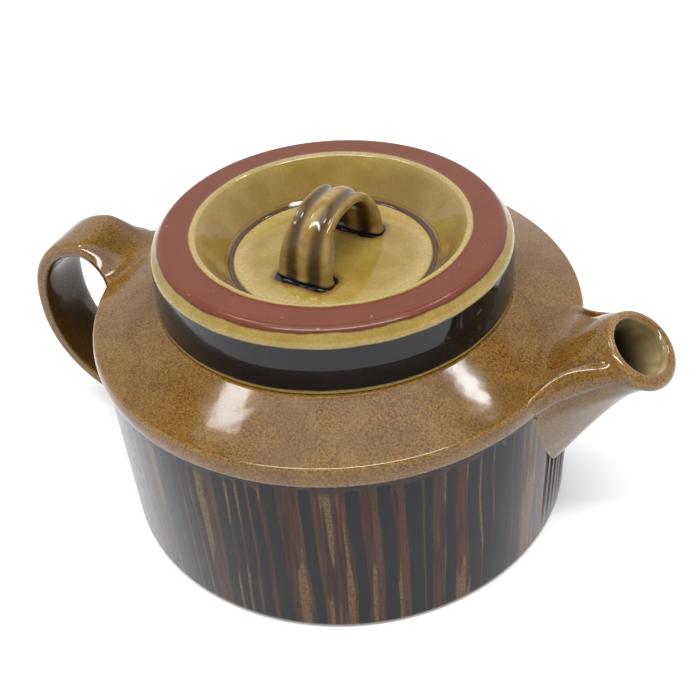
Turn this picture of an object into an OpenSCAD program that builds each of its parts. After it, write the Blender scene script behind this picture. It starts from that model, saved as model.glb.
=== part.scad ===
// Glazed stoneware teapot with a sunken lid and a lift-out infuser basket.
// Frame: Z up, origin on the table on the pot's axis, spout towards +X, handle towards -X.
// All dimensions are in millimetres.

/* [Pot body] */
// Outside radius of the straight wall
wall_r = 80.4; // [79:0.2:81.6]
// Height of the joint between the wall and the shoulder
wall_h = 66.5; // [65:0.5:69]
// Thickness of the stoneware wall
wall_t = 4.5; // [4:0.1:5]
// Thickness of the floor above the foot recess
floor_t = 5; // [4:0.5:7]
// Depth of the recess inside the foot ring
foot_depth = 2; // [1:0.5:3]
// Width of the flat ring that stands on the table
foot_w = 7; // [5:0.5:10]

/* [Shoulder] */
// Outside radius of the rounded bead round the shoulder
bead_r = 82.5; // [82:0.1:83.5]
// Radius of the rounding of that bead
bead_round = 4.2; // [3.6:0.1:4.6]
// Height of the lid seat above the top of the wall
seat_rise = 16.2; // [15:0.2:18]
// Outside radius of the level lid seat
seat_r = 60; // [59.8:0.2:62]
// Radius of the recess that takes the basket rim
recess_r = 52; // [51.5:0.1:52.5]
// Depth of that recess
recess_depth = 2.6; // [2.4:0.1:3]
// Radius of the mouth of the pot
mouth_r = 46.5; // [45.5:0.1:47]

/* [Spout] */
// Direction of the spout, in degrees from the handle's line
spout_turn = -3.5; // [-6:0.5:6]
// Distance from the pot's axis to the centre of the pouring mouth
spout_reach = 101.5; // [99:0.5:103]
// Height of the centre of the pouring mouth
spout_height = 81.5; // [79:0.5:83]
// Backward lean of the pouring mouth, in degrees from upright
spout_lean = 55; // [50:1:58]
// Half the width of the spout at its lip
lip_half_w = 14.5; // [14:0.5:16]
// Half the width of the spout where it leaves the wall
root_half_w = 28; // [26:0.5:28.5]
// Height of the lowest point of the spout on the wall
root_low = 30; // [28:0.5:31]
// Thickness of the spout's wall
spout_t = 4; // [3.4:0.1:4.4]
// Diameter of each strainer hole behind the spout
strainer_d = 4; // [3:0.2:4.4]

/* [Handle] */
// Distance from the pot's axis to the middle of the strap at its widest
handle_reach = 118; // [114:0.5:121]
// Height of the top of the handle's loop
handle_top = 80.8; // [78:0.2:82]
// Height at which the strap's lower end meets the wall
handle_foot = 11; // [10:0.5:16]
// Width of the strap
strap_w = 24; // [20:0.5:26]
// Thickness of the strap
strap_t = 6.4; // [5.5:0.1:8]

/* [Lid] */
// Outside radius of the lid's black band
lid_r = 59; // [58:0.1:59.6]
// Height of the lid above its seat
lid_h = 21.6; // [20:0.2:24]
// Radius of the mouth of the sunken well
well_r = 45.2; // [44.6:0.1:46]
// Radius of the floor of the well
well_floor_r = 34; // [32:0.2:36]
// Depth of the well
well_depth = 12.4; // [11:0.2:12.8]
// Thickness of the lid's stoneware
lid_t = 4.6; // [4:0.1:4.8]
// Depth of the locating flange below the seat
flange_depth = 9; // [6:0.5:12]

/* [Lid handle] */
// Distance from the lid's axis to the middle of each foot of the arch
arch_half_span = 16.6; // [15:0.2:18]
// Height of the top of the arch above the well's floor
arch_rise = 21.5; // [20:0.5:25]
// Width of the ribbon at its feet
arch_foot_w = 19.5; // [18:0.5:21]
// Width of the ribbon at its top
arch_top_w = 14.5; // [13:0.5:17]
// Thickness of the ribbon
arch_t = 4.6; // [4:0.1:5.4]
// Direction of the arch, in degrees from the spout's line
arch_turn = 83; // [0:1:180]

/* [Infuser basket] */
// Outside radius of the perforated wall
basket_r = 43; // [42.4:0.1:43.4]
// Depth of the basket below its seat
basket_depth = 58; // [50:1:62]
// Thickness of the stainless sheet
sheet_t = 0.8; // [0.7:0.1:1]
// Diameter of each perforation
perforation_d = 4; // [3:0.2:4.6]
// Number of rows of perforations in the wall
perforation_rows = 6; // [3:1:6]
// Number of perforations in each row
perforation_columns = 24; // [12:1:26]
// Height of each finger tab above the rim
tab_h = 9; // [7:0.5:11]
// Width of each finger tab
tab_w = 16; // [13:0.5:18]

/* [Hidden] */

// Roundness of turned parts
turned_fn = 96;

// Height of the centre of the bead's rounding above the wall, and how far round it the slope starts
bead_rise = 5;
bead_turn = 68;

// Thickness and depth of the neck round the mouth
neck_t = 7;
neck_depth = 8.5;

// Rounding of the corner inside the cup, and of the edge of its foot
corner_r = 9;
foot_round = 2.5;

// Radius of the basket's rolled rim, its gap in the recess, and the gap round the lid's flange
rim_roll = 1.1;
rim_gap = 0.8;
flange_gap = 1;

// How far a cutting shape runs past the faces it cuts
slack = 1;

// Heights that follow from the driving dimensions
seat_z = wall_h + seat_rise;
recess_z = seat_z - recess_depth;
bead_z = wall_h + bead_rise;
neck_z = seat_z - neck_depth;
lid_top_z = seat_z + lid_h;
well_z = lid_top_z - well_depth;
basket_z = recess_z - basket_depth;

// Radii that follow from the driving dimensions
inner_r = wall_r - wall_t;
neck_r = mouth_r + neck_t;
flange_r = basket_r - sheet_t - flange_gap;
rim_r = recess_r - rim_gap;

// Start of the shoulder's straight slope, where it leaves the bead's rounding
slope_r = bead_r - bead_round + bead_round * cos(bead_turn);
slope_z = bead_z + bead_round * sin(bead_turn);

// Size of the pouring mouth above and below its centre, and how far luted pieces bite into the pot
lip_up = 12.8;
lip_down = 12.8;
lip_roll = 2;
bite = 0.3;

// Radius at which the spout's upper side leaves the shoulder
valley_r = 72;

// Directions in which the spout's ribs leave the pot, in degrees above level, and how far they
// run that way before they bend
side_lean = 4;
valley_lean = -16;
underside_lean = 66;
leave_length = 9;
arrive_length = 7;

// How far the ribs stand inside the lip just before it flares, and how much more they do below
flare = 1.5;
flare_below = 6;

// The spout's channel where it opens on the wall: height of its floor and of its sides, rise of
// its crown under the shoulder, and the share of its width that is left at the crown
channel_low_z = root_low + spout_t + 2;
channel_side_z = wall_h - 9;
channel_crown = 3;
channel_pinch = 0.7;
channel_lean = 20;

// Centre line of the handle's strap: its buried ends, its widest place, and the height of the
// controls that draw the curve up to the loop's top
strap_start = [-bead_r + 11, bead_z + 4.5];
strap_widest = [-handle_reach, 50];
strap_end = [-wall_r + 6, handle_foot];
strap_control_z = handle_top + 3.5;

// Points of an arc in a turned profile, from angle a to angle b
function arc(x, z, r, a, b, n = 12) =
  [for (i = [0:n]) [x + r * cos(a + (b - a) * i / n), z + r * sin(a + (b - a) * i / n)]];

// Point of a cubic Bezier curve
function bezier(p, t) =
  p[0] * pow(1 - t, 3) + 3 * p[1] * t * pow(1 - t, 2) + 3 * p[2] * t * t * (1 - t) + p[3] * pow(t, 3);

// Direction of a cubic Bezier curve in the XZ plane, in degrees above +X
function bezier_angle(p, t) =
  let (d = (p[1] - p[0]) * pow(1 - t, 2) + 2 * (p[2] - p[1]) * t * (1 - t) + (p[3] - p[2]) * t * t)
  atan2(d[1], d[0]);

// Smooth step from 0 to 1
function ease(t) = t * t * (3 - 2 * t);

// Value between a and b
function mix(a, b, t) = a + (b - a) * t;

// Power of a sine or cosine that keeps its sign
function signed_pow(value, power) = sign(value) * pow(abs(value), power);

// Ring of n points round a centre in the XZ plane: half width w in Y, half thickness t across the
// path. A power below 1 makes the ring squarer.
function ring(centre, angle, w, t, power, n) =
  [for (i = [0:n - 1])
    let (a = 360 * i / n,
         y = w * signed_pow(cos(a), power),
         v = t * signed_pow(sin(a), power))
    [centre[0] - v * sin(angle), y, centre[1] + v * cos(angle)]];

// Closed skin through a list of rings, each with the same number of points
module skin(rings) {
  n = len(rings[0]);
  last = len(rings) - 1;
  sides = [for (k = [0:last - 1], i = [0:n - 1])
            each [[k * n + i, (k + 1) * n + (i + 1) % n, k * n + (i + 1) % n],
                  [k * n + i, (k + 1) * n + i, (k + 1) * n + (i + 1) % n]]];
  start = [for (i = [0:n - 1]) i];
  finish = [for (i = [0:n - 1]) last * n + n - 1 - i];
  polyhedron(points = [for (r = rings) each r], faces = concat([start], sides, [finish]));
}

// Closed skin through a loop of rings that ends where it began, so it has a channel through it
module tube_skin(rings) {
  n = len(rings[0]);
  m = len(rings);
  faces = [for (k = [0:m - 1], i = [0:n - 1])
            let (a = k * n + i,
                 b = k * n + (i + 1) % n,
                 c = (k + 1) % m * n + (i + 1) % n,
                 d = (k + 1) % m * n + i)
            each [[a, c, b], [a, d, c]]];
  polyhedron(points = [for (r = rings) each r], faces = faces);
}

// Outside of the finished pot as one turned solid, for trimming the pieces luted to it
module pot_outside() {
  rotate_extrude($fn = turned_fn)
    union() {
      square([wall_r, wall_h]);
      shoulder_outline();
      translate([0, wall_h]) square([seat_r, seat_rise]);
    }
}

// Section of the shoulder without its mouth: a rounded bead and a straight slope up to the seat
module shoulder_outline() {
  polygon([[inner_r, wall_h], [wall_r, wall_h], [bead_r - bead_round, bead_z],
           [slope_r, slope_z], [seat_r, seat_z], [neck_r, seat_z], [neck_r, neck_z]]);
  translate([bead_r - bead_round, bead_z]) circle(r = bead_round, $fn = 48);
}

// Cup with a flat foot ring, and a cluster of strainer holes behind the spout
module pot_body() {
  color([0.20, 0.14, 0.13])
    difference() {
      rotate_extrude($fn = turned_fn)
        difference() {
          union() {
            translate([0, foot_round]) square([wall_r, wall_h - foot_round]);
            square([wall_r - foot_round, foot_round + 1]);
            translate([wall_r - foot_round, foot_round]) circle(r = foot_round, $fn = 48);
          }
          square([wall_r - foot_round - foot_w, foot_depth]);
          translate([0, foot_depth + floor_t]) square([inner_r - corner_r, wall_h]);
          translate([0, foot_depth + floor_t + corner_r]) square([inner_r, wall_h]);
          translate([inner_r - corner_r, foot_depth + floor_t + corner_r])
            circle(r = corner_r, $fn = 48);
        }
      rotate([0, 0, spout_turn]) strainer_holes();
    }
}

// Rows of level holes through the wall: 2, 3, 4 and 3 of them from the lowest row up
module strainer_holes() {
  row_gap = 6.5;
  hole_gap = 7.5;
  first_z = wall_h - 27;
  overrun = 3;
  counts = [2, 3, 4, 3];
  for (row = [0:3], i = [0:counts[row] - 1])
    translate([inner_r - overrun, (i - (counts[row] - 1) / 2) * hole_gap, first_z + row * row_gap])
      rotate([0, 90, 0])
        cylinder(d = strainer_d, h = wall_t + 2 * overrun, $fn = 32);
}

// Sloping shoulder with its bead, the lid seat, the recess for the basket and a thick neck
module shoulder() {
  bevel_w = 2;
  bevel_h = 3.5;
  color([0.51, 0.39, 0.25])
    rotate_extrude($fn = turned_fn)
      difference() {
        union() {
          shoulder_outline();
          translate([mouth_r, neck_z]) square([neck_t + slack, recess_z - neck_z]);
          translate([recess_r, neck_z]) square([seat_r - recess_r, seat_z - neck_z]);
        }
        polygon([[0, wall_h - slack], [inner_r, wall_h - slack], [inner_r, wall_h],
                 [inner_r - bevel_w, wall_h + bevel_h], [neck_r + slack, neck_z], [0, neck_z]]);
      }
}

// Height of the shoulder's outer surface at a radius
function shoulder_z(r) =
  r > slope_r
    ? bead_z + sqrt(max(0, pow(bead_round, 2) - pow(r - bead_r + bead_round, 2)))
    : mix(slope_z, seat_z, (slope_r - r) / (slope_r - seat_r));

// Point where a rib of the spout leaves the pot. Angle 0 is the left end of the bead, 90 the
// valley across the shoulder, 270 the lowest point on the wall.
function spout_root(a) =
  let (c = cos(a),
       s = sin(a),
       y = root_half_w * c,
       low_z = mix(root_low, bead_z, c * c),
       r = s > 0
         ? mix(bead_r, valley_r, pow(s, 0.8))
         : mix(wall_r, bead_r, max(0, (low_z - wall_h) / (bead_z - wall_h))),
       z = s > 0 ? shoulder_z(r) : low_z)
  [sqrt(r * r - y * y) - bite, y, z];

// Point where the channel of the spout opens on the wall
function channel_root(a) =
  let (narrowing = sin(a) > 0 ? mix(channel_pinch, 1, pow(cos(a), 2)) : 1,
       y = (root_half_w - spout_t) * cos(a) * narrowing,
       z = sin(a) > 0
         ? channel_side_z + channel_crown * sin(a)
         : mix(channel_low_z, channel_side_z, pow(cos(a), 2)))
  [sqrt(wall_r * wall_r - y * y) - bite, y, z];

// Point on a ring square to the pouring mouth, a distance beyond it
function mouth_point(a, inset, beyond) =
  let (v = ((sin(a) > 0 ? lip_up : lip_down) - inset) * sin(a),
       y = (lip_half_w - inset) * cos(a))
  [spout_reach - v * sin(spout_lean) + beyond * cos(spout_lean), y,
   spout_height + v * cos(spout_lean) + beyond * sin(spout_lean)];

// Rib of the outside at an angle: it leaves the pot along the shoulder or up the wall, and ends
// square to the mouth
function outer_rib(a, t) =
  let (lean = sin(a) > 0 ? mix(side_lean, valley_lean, sin(a)) : mix(side_lean, underside_lean, -sin(a)),
       leave = leave_length * [cos(lean), 0, sin(lean)],
       arrive = arrive_length * [cos(spout_lean), 0, sin(spout_lean)],
       neck = mouth_point(a, sin(a) > 0 ? flare : flare - flare_below * sin(a), 0))
  bezier([spout_root(a), spout_root(a) + leave, neck - arrive, mouth_point(a, 0, 0)], t);

// Middle of the outside's ring at a place along the ribs
function ring_middle(t) =
  [for (i = [0:15]) 1 / 16] * [for (i = [0:15]) outer_rib(i * 22.5, t)];

// Rib of the channel at an angle. Below, it keeps one wall thickness inside the outside's rib.
// Above, it runs from under the bead to the mouth.
function channel_rib(a, t) =
  let (outside = outer_rib(a, t),
       inwards = ring_middle(t) - outside,
       below = outside + spout_t * inwards / norm(inwards),
       mouth = mouth_point(a, spout_t, 0),
       leave = leave_length * [cos(channel_lean), 0, sin(channel_lean)],
       arrive = arrive_length * [cos(spout_lean), 0, sin(spout_lean)],
       above = bezier([channel_root(a), channel_root(a) + leave, mouth - arrive, mouth], t))
  mix(below, above, ease(min(1, max(0, 1.2 * sin(a)))));

// Short flared spout. Its rings run out along the outside, over the rounded lip and back along
// the channel to the strainer holes.
module spout() {
  steps = 10;
  angles = [for (i = [0:31]) i * 360 / 32];
  outside = [for (k = [0:steps]) [for (a = angles) outer_rib(a, k / steps)]];
  lip = [for (turn = [45, 90, 135])
          [for (a = angles) mouth_point(a, spout_t / 2 * (1 - cos(turn)), lip_roll * sin(turn))]];
  channel = [for (k = [0:steps]) [for (a = angles) channel_rib(a, 1 - k / steps)]];
  color([0.50, 0.37, 0.23])
    rotate([0, 0, spout_turn])
      tube_skin(concat(outside, lip, channel));
}

// Ear-shaped strap handle, from the shoulder out and down to the foot of the wall
module handle() {
  upper = [strap_start, [-bead_r - 9, strap_control_z], [-handle_reach, strap_control_z], strap_widest];
  lower = [strap_widest, [-handle_reach - 0.5, 30], [-bead_r - 20, handle_foot - 1], strap_end];
  steps = 16;
  color([0.47, 0.35, 0.22])
    difference() {
      skin(concat([for (i = [0:steps - 1]) strap_ring(upper, i / steps)],
                  [for (i = [0:steps]) strap_ring(lower, i / steps)]));
      pot_outside();
    }
}

// Ring of the strap, square to its centre line and nearly flat on its broad sides
function strap_ring(path, t) =
  let (squareness = 0.55)
  ring(bezier(path, t), bezier_angle(path, t), strap_w / 2, strap_t / 2, squareness, 28);

// Lid: rounded outer band, flat top ring, sunken well and a locating flange, one even thickness
module lid() {
  edge = 3.6;
  band_taper = 0.4;
  well_edge = 1.5;
  well_corner = [1, 1.5];
  shell_r = lid_r - lid_t;
  shell_z = well_z - lid_t;
  color([0.57, 0.34, 0.27])
    rotate_extrude($fn = turned_fn)
      difference() {
        union() {
          polygon(concat([[0, shell_z], [shell_r, shell_z], [shell_r, seat_z], [lid_r, seat_z]],
                         arc(lid_r - band_taper - edge, lid_top_z - edge, edge, 0, 90),
                         [[0, lid_top_z]]));
          translate([flange_r - lid_t, seat_z - flange_depth])
            square([lid_t, well_z - seat_z + flange_depth]);
        }
        polygon(concat([[0, well_z], [well_floor_r - well_corner[0], well_z],
                        [well_floor_r + well_corner[1], well_z + well_corner[0]]],
                       arc(well_r, lid_top_z - well_edge, well_edge, 180, 90, 6),
                       [[well_r, lid_top_z + slack], [0, lid_top_z + slack]]));
        polygon([[flange_r, shell_z - slack], [flange_r, shell_z + slack],
                 [well_r + lid_t - 2 * slack, lid_top_z - lid_t], [shell_r, lid_top_z - lid_t],
                 [shell_r, shell_z - slack]]);
      }
}

// Arched ribbon that stands on the floor of the well
module lid_handle() {
  steps = 24;
  half_h = arch_rise - arch_t / 2;
  arch_power = 0.8;
  ribbon_power = 0.7;
  color([0.62, 0.50, 0.27])
    intersection() {
      rotate([0, 0, arch_turn])
        skin([for (i = [0:steps])
               let (a = 180 - 180 * i / steps,
                    x = arch_half_span * signed_pow(cos(a), arch_power),
                    z = well_z - slack + (half_h + slack) * signed_pow(sin(a), arch_power),
                    w = mix(arch_foot_w, arch_top_w, ease(sin(a))) / 2)
               ring([x, z], a - 90, w, arch_t / 2, ribbon_power, 24)]);
      translate([0, 0, well_z])
        cylinder(r = well_r, h = arch_rise + slack);
    }
}

// Rolled stainless rim that hangs in the recess of the shoulder
module basket_rim() {
  color([0.78, 0.78, 0.76])
    rotate_extrude($fn = turned_fn)
      union() {
        translate([basket_r, recess_z]) square([rim_r - rim_roll - basket_r, sheet_t]);
        translate([rim_r - rim_roll, recess_z + rim_roll]) circle(r = rim_roll, $fn = 32);
      }
}

// Perforated stainless wall of the basket
module basket_wall() {
  plain_low = 6;
  plain_high = 10;
  overrun = 3;
  pitch = (basket_depth - plain_low - plain_high) / (perforation_rows - 0.5);
  color([0.72, 0.72, 0.70])
    difference() {
      translate([0, 0, basket_z])
        cylinder(r = basket_r, h = basket_depth + sheet_t, $fn = turned_fn);
      translate([0, 0, basket_z - slack])
        cylinder(r = basket_r - sheet_t, h = basket_depth + sheet_t + 2 * slack, $fn = turned_fn);
      for (row = [0:perforation_rows - 1], column = [0:perforation_columns - 1])
        translate([0, 0, basket_z + plain_low + pitch * row])
          rotate([0, 90, (column + (row % 2) / 2) * 360 / perforation_columns])
            translate([0, 0, basket_r - overrun])
              cylinder(d = perforation_d, h = 2 * overrun, $fn = 24);
    }
}

// Perforated stainless disc that closes the bottom of the basket
module basket_floor() {
  rings = 3;
  ring_gap = 10;
  color([0.72, 0.72, 0.70])
    translate([0, 0, basket_z])
      difference() {
        cylinder(r = basket_r - sheet_t, h = sheet_t, $fn = turned_fn);
        translate([0, 0, -slack]) cylinder(d = perforation_d, h = sheet_t + 2 * slack, $fn = 24);
        for (k = [1:rings], i = [0:6 * k - 1])
          rotate([0, 0, i * 60 / k])
            translate([k * ring_gap, 0, -slack])
              cylinder(d = perforation_d, h = sheet_t + 2 * slack, $fn = 24);
      }
}

// Two upright finger tabs, one on each side of the rim
module basket_tabs() {
  tab_r = (basket_r + rim_r - slack) / 2;
  round_r = 4;
  hole_r = 2.5;
  color([0.78, 0.78, 0.76])
    for (side = [-1, 1])
      translate([side * tab_r + sheet_t / 2, 0, recess_z + sheet_t])
        rotate([90, 0, -90])
          linear_extrude(height = sheet_t)
            difference() {
              union() {
                translate([-tab_w / 2, 0]) square([tab_w, tab_h - round_r]);
                translate([-tab_w / 2 + round_r, 0]) square([tab_w - 2 * round_r, tab_h]);
                for (s = [-1, 1])
                  translate([s * (tab_w / 2 - round_r), tab_h - round_r]) circle(r = round_r, $fn = 32);
              }
              translate([0, tab_h / 2]) circle(r = hole_r, $fn = 32);
            }
}

pot_body();
shoulder();
spout();
handle();
lid();
lid_handle();
basket_rim();
basket_wall();
basket_floor();
basket_tabs();
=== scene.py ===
import math

import bmesh
import bpy
import numpy as np
from mathutils import Matrix, Vector
from mathutils.geometry import delaunay_2d_cdt


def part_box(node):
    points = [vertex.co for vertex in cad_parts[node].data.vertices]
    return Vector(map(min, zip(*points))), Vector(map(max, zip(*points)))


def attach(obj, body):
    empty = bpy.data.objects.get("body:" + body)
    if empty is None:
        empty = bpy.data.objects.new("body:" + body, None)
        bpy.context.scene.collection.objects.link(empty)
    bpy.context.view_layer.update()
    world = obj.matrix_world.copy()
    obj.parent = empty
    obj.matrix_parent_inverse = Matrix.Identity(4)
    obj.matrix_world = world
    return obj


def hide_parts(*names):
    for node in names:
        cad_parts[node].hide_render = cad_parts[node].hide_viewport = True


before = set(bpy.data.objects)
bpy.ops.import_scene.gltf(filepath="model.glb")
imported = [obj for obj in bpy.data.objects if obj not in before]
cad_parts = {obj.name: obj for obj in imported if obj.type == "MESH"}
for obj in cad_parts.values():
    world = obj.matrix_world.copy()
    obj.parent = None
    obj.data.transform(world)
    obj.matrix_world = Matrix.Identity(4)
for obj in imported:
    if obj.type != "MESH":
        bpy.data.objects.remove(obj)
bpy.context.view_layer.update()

# Glazed teapot with a sunken lid and a lift-out infuser basket. Lengths are millimetres
# until a mesh is made, and angles are degrees. The spout points towards +X.
MM = 0.001


def limits(node):
    """Lowest and highest corner of a CAD node in millimetres."""
    low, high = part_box(node)
    return np.array(low) / MM, np.array(high) / MM


# Driving sizes read from the frame
WALL_R = limits("pot_body")[1][0]
WALL_H = limits("pot_body")[1][2]
BEAD_R = limits("shoulder")[1][0]
SEAT_Z = limits("shoulder")[1][2]
LID_R = limits("lid")[1][0]
LID_TOP = limits("lid")[1][2]
FLANGE_LOW = limits("lid")[0][2]
KNOB_TOP = limits("lid_handle")[1][2]
WELL_Z = limits("lid_handle")[0][2]
STRAP_HALF = limits("handle")[1][1]
HANDLE_OUT = -limits("handle")[0][0]
HANDLE_LOW = limits("handle")[0][2]
HANDLE_HIGH = limits("handle")[1][2]
RIM_R = limits("basket_rim")[1][0]
RECESS_Z = limits("basket_rim")[0][2]
BASKET_R = limits("basket_wall")[1][0]
BASKET_LOW, BASKET_HIGH = limits("basket_wall")[0][2], limits("basket_wall")[1][2]

# Body of the pot. These sizes match part.scad, because they cannot be read from a box
WALL_T = 4.5
FLOOR_Z = 7.0
FOOT_DEPTH = 2.0
FOOT_INNER = 70.9
SEAT_R = 60.0
RECESS_R = 52.0
MOUTH_R = 46.5

# Spout. Its root is narrower by ROOT_SKEW on the +Y side and wider by it on the -Y side
SPOUT_TURN = -3.5
MOUTH_REACH, MOUTH_Z, MOUTH_LEAN = 101.5, 81.5, 55.0
MOUTH_HALF_W, MOUTH_HALF_H = 14.5, 12.8
LIP_ROLL = 1.9
SPOUT_HALF_W = 27.4
ROOT_SKEW = 2.4
SPOUT_LOW = 30.0
VALLEY_R = 71.2

# Handle
STRAP_HALF_T = 3.1

# Lid
WELL_R = 45.0
GROOVE_R = 33.6
KNOB_TURN = 83.0
KNOB_HALF_SPAN = 16.6

# Infuser basket
SHEET_T = 0.8
PERFORATION_R = 1.15

# Camera, in metres and degrees
CAMERA_AT = (0.1208, -0.2517, 0.2799)
CAMERA_TARGET = (0.00284, 0.00132, 0.05036)
CAMERA_ROLL = -4.42
CAMERA_LENS = 52.557


# ---------------------------------------------------------------- curves and outlines

def smooth(t):
    t = np.clip(t, 0, 1)
    return t * t * (3 - 2 * t)


def mix(a, b, t):
    return a + (b - a) * t


def unit(v):
    return v / np.linalg.norm(v, axis=-1, keepdims=True)


def power(value, exponent):
    """Signed power, for superellipses."""
    return np.sign(value) * np.abs(value) ** exponent


def rounded(corners, closed=False):
    """Outline through corners (r, z, rounding). Each rounding is an arc with a support point
    on both sides, which keeps the shading of the straight stretches flat."""
    step, support = 11, 0.3
    points = []
    count = len(corners)
    for i, (r, z, radius) in enumerate(corners):
        here = np.array((r, z), float)
        if radius == 0 or (not closed and i in (0, count - 1)):
            points.append(here)
            continue
        back = np.array(corners[i - 1][:2], float) - here
        ahead = np.array(corners[(i + 1) % count][:2], float) - here
        room = 0.48 * min(np.linalg.norm(back), np.linalg.norm(ahead))
        back, ahead = unit(back), unit(ahead)
        between = math.acos(np.clip(back @ ahead, -1, 1))
        if between > math.radians(179.5):
            points.append(here)
            continue
        reach = min(radius / math.tan(between / 2), room)
        radius = reach * math.tan(between / 2)
        centre = here + unit(back + ahead) * radius / math.sin(between / 2)
        a, b = here + back * reach - centre, here + ahead * reach - centre
        turn = math.atan2(a[0] * b[1] - a[1] * b[0], a @ b)
        steps = max(2, math.ceil(abs(math.degrees(turn)) / step))
        if reach + 2 * support < room / 0.48 / 2:
            points.append(here + back * (reach + support))
        for k in range(steps + 1):
            c, s = math.cos(turn * k / steps), math.sin(turn * k / steps)
            points.append(centre + (a[0] * c - a[1] * s, a[0] * s + a[1] * c))
        if reach + 2 * support < room / 0.48 / 2:
            points.append(here + ahead * (reach + support))
    return np.array(points)


def bezier(p0, p1, p2, p3, t):
    """Points of cubic curves: one row of points for each t."""
    t = np.asarray(t, float)[:, None, None]
    return p0 * (1 - t) ** 3 + 3 * p1 * t * (1 - t) ** 2 + 3 * p2 * t * t * (1 - t) + p3 * t ** 3


def grid_faces(rows, columns, wrap_rows=False):
    """Quads of a grid of vertices whose columns run round a ring."""
    faces = []
    for k in range(rows if wrap_rows else rows - 1):
        a, b = k * columns, (k + 1) % rows * columns
        for i in range(columns):
            j = (i + 1) % columns
            faces.append((a + i, a + j, b + j, b + i))
    return faces


# ---------------------------------------------------------------- meshes

def cap_faces(first, last, tail, columns):
    """Fans that close both ends of a skin: round the vertex first at its start, and round the
    vertex last at its final ring, which begins at vertex tail."""
    faces = []
    for i in range(columns):
        j = (i + 1) % columns
        faces.append((first, j, i))
        faces.append((last, tail + i, tail + j))
    return faces


def add_bend(mesh, points):
    """Stores how sharply the surface bends at each vertex, in 1/mm: above 0 on edges and below 0
    in hollows."""
    pairs = np.zeros(len(mesh.edges) * 2, int)
    mesh.edges.foreach_get("vertices", pairs)
    a, b = pairs.reshape(-1, 2).T
    normals = np.array([v.normal for v in mesh.vertices])
    across = points[a] - points[b]
    bend = np.einsum("ij,ij->i", normals[a] - normals[b], across)
    bend /= np.maximum(np.einsum("ij,ij->i", across, across), 1e-4)
    count = np.maximum(np.bincount(np.r_[a, b], minlength=len(points)), 1)
    for _ in range(2):
        mean = np.bincount(np.r_[a, b], np.r_[bend, bend], len(points)) / count
        bend = (mean[a] + mean[b]) / 2
    attribute = mesh.attributes.new("bend", "FLOAT", "POINT")
    attribute.data.foreach_set("value", np.clip(mean, -1, 1).astype(np.float32))


def piece(name, points, faces, material, body, node, lining=None):
    """Closed mesh, made from points in millimetres, that rides on a body and stands for a CAD node.
    Lining is 1 at the vertices inside a channel."""
    points = np.asarray(points, float).reshape(-1, 3)
    mesh = bpy.data.meshes.new(name)
    mesh.from_pydata((points * MM).tolist(), [], faces)
    shape = bmesh.new()
    shape.from_mesh(mesh)
    bmesh.ops.recalc_face_normals(shape, faces=shape.faces)
    shape.to_mesh(mesh)
    shape.free()
    mesh.polygons.foreach_set("use_smooth", [True] * len(mesh.polygons))
    mesh.update()
    add_bend(mesh, points)
    if lining is not None:
        attribute = mesh.attributes.new("lining", "FLOAT", "POINT")
        attribute.data.foreach_set("value", lining.astype(np.float32))
    mesh.materials.append(material)
    made = bpy.data.objects.new(name, mesh)
    bpy.context.scene.collection.objects.link(made)
    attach(made, body)
    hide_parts(node)
    return made


def turned(outline, segments=256, closed=True):
    """Points and faces of a turned solid. An open outline starts and ends on the axis."""
    angle = np.arange(segments) * 2 * math.pi / segments
    inner = outline if closed else outline[1:-1]
    rings = np.stack([inner[:, :1] * np.cos(angle), inner[:, :1] * np.sin(angle),
                      np.repeat(inner[:, 1:], segments, 1)], -1)
    points = rings.reshape(-1, 3)
    faces = grid_faces(len(inner), segments, wrap_rows=closed)
    if not closed:
        first, last = len(points), len(points) + 1
        points = np.vstack([points, (0, 0, outline[0][1]), (0, 0, outline[-1][1])])
        faces += cap_faces(first, last, (len(inner) - 1) * segments, segments)
    return points, faces


def capped(rings):
    """Points and faces of a skin through open rings, with a flat cap at both ends."""
    rows, columns = rings.shape[:2]
    points = np.vstack([rings.reshape(-1, 3), rings[0].mean(0), rings[-1].mean(0)])
    first = rows * columns
    return points, grid_faces(rows, columns) + cap_faces(first, first + 1, first - columns, columns)


def plate(outline, holes, thickness):
    """Points and faces of a flat plate with holes, lying on z 0. Outline and holes are loops of
    (x, y), and the holes are round."""
    loops = [np.asarray(outline)] + [np.asarray(h) for h in holes]
    flat, edges = [], []
    for loop in loops:
        start = len(flat)
        flat += [Vector(p) for p in loop]
        edges += [(start + i, start + (i + 1) % len(loop)) for i in range(len(loop))]
    found = delaunay_2d_cdt(flat, edges, [], 1, 1e-5)
    flat, faces = np.array([tuple(v) for v in found[0]]), found[2]
    centres = np.array([flat[list(f)].mean(0) for f in faces])
    keep = np.ones(len(faces), bool)
    for hole in loops[1:]:
        middle = hole.mean(0)
        keep &= np.linalg.norm(centres - middle, axis=1) > np.linalg.norm(hole[0] - middle) * 0.98
    faces = [tuple(f) for f, kept in zip(faces, keep) if kept]
    n = len(flat)
    sides = {}
    for f in faces:
        for a, b in zip(f, f[1:] + f[:1]):
            sides[(a, b)] = sides.pop((b, a), None) is None or None
    rim = [edge for edge, alone in sides.items() if alone]
    points = np.vstack([np.c_[flat, np.zeros(n)], np.c_[flat, np.full(n, thickness)]])
    solid = [tuple(reversed(f)) for f in faces] + [tuple(i + n for i in f) for f in faces]
    solid += [(a, b, b + n, a + n) for a, b in rim]
    return points, solid


# ---------------------------------------------------------------- outside of the pot

FOOT_ROUND = 2.5
BEAD = [(WALL_R, WALL_H + 0.9, 0.9), (WALL_R + 1.8, WALL_H + 2.2, 1.5), (BEAD_R, WALL_H + 5.6, 6),
        (BEAD_R - 0.7, WALL_H + 8.4, 1.7)]


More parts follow.
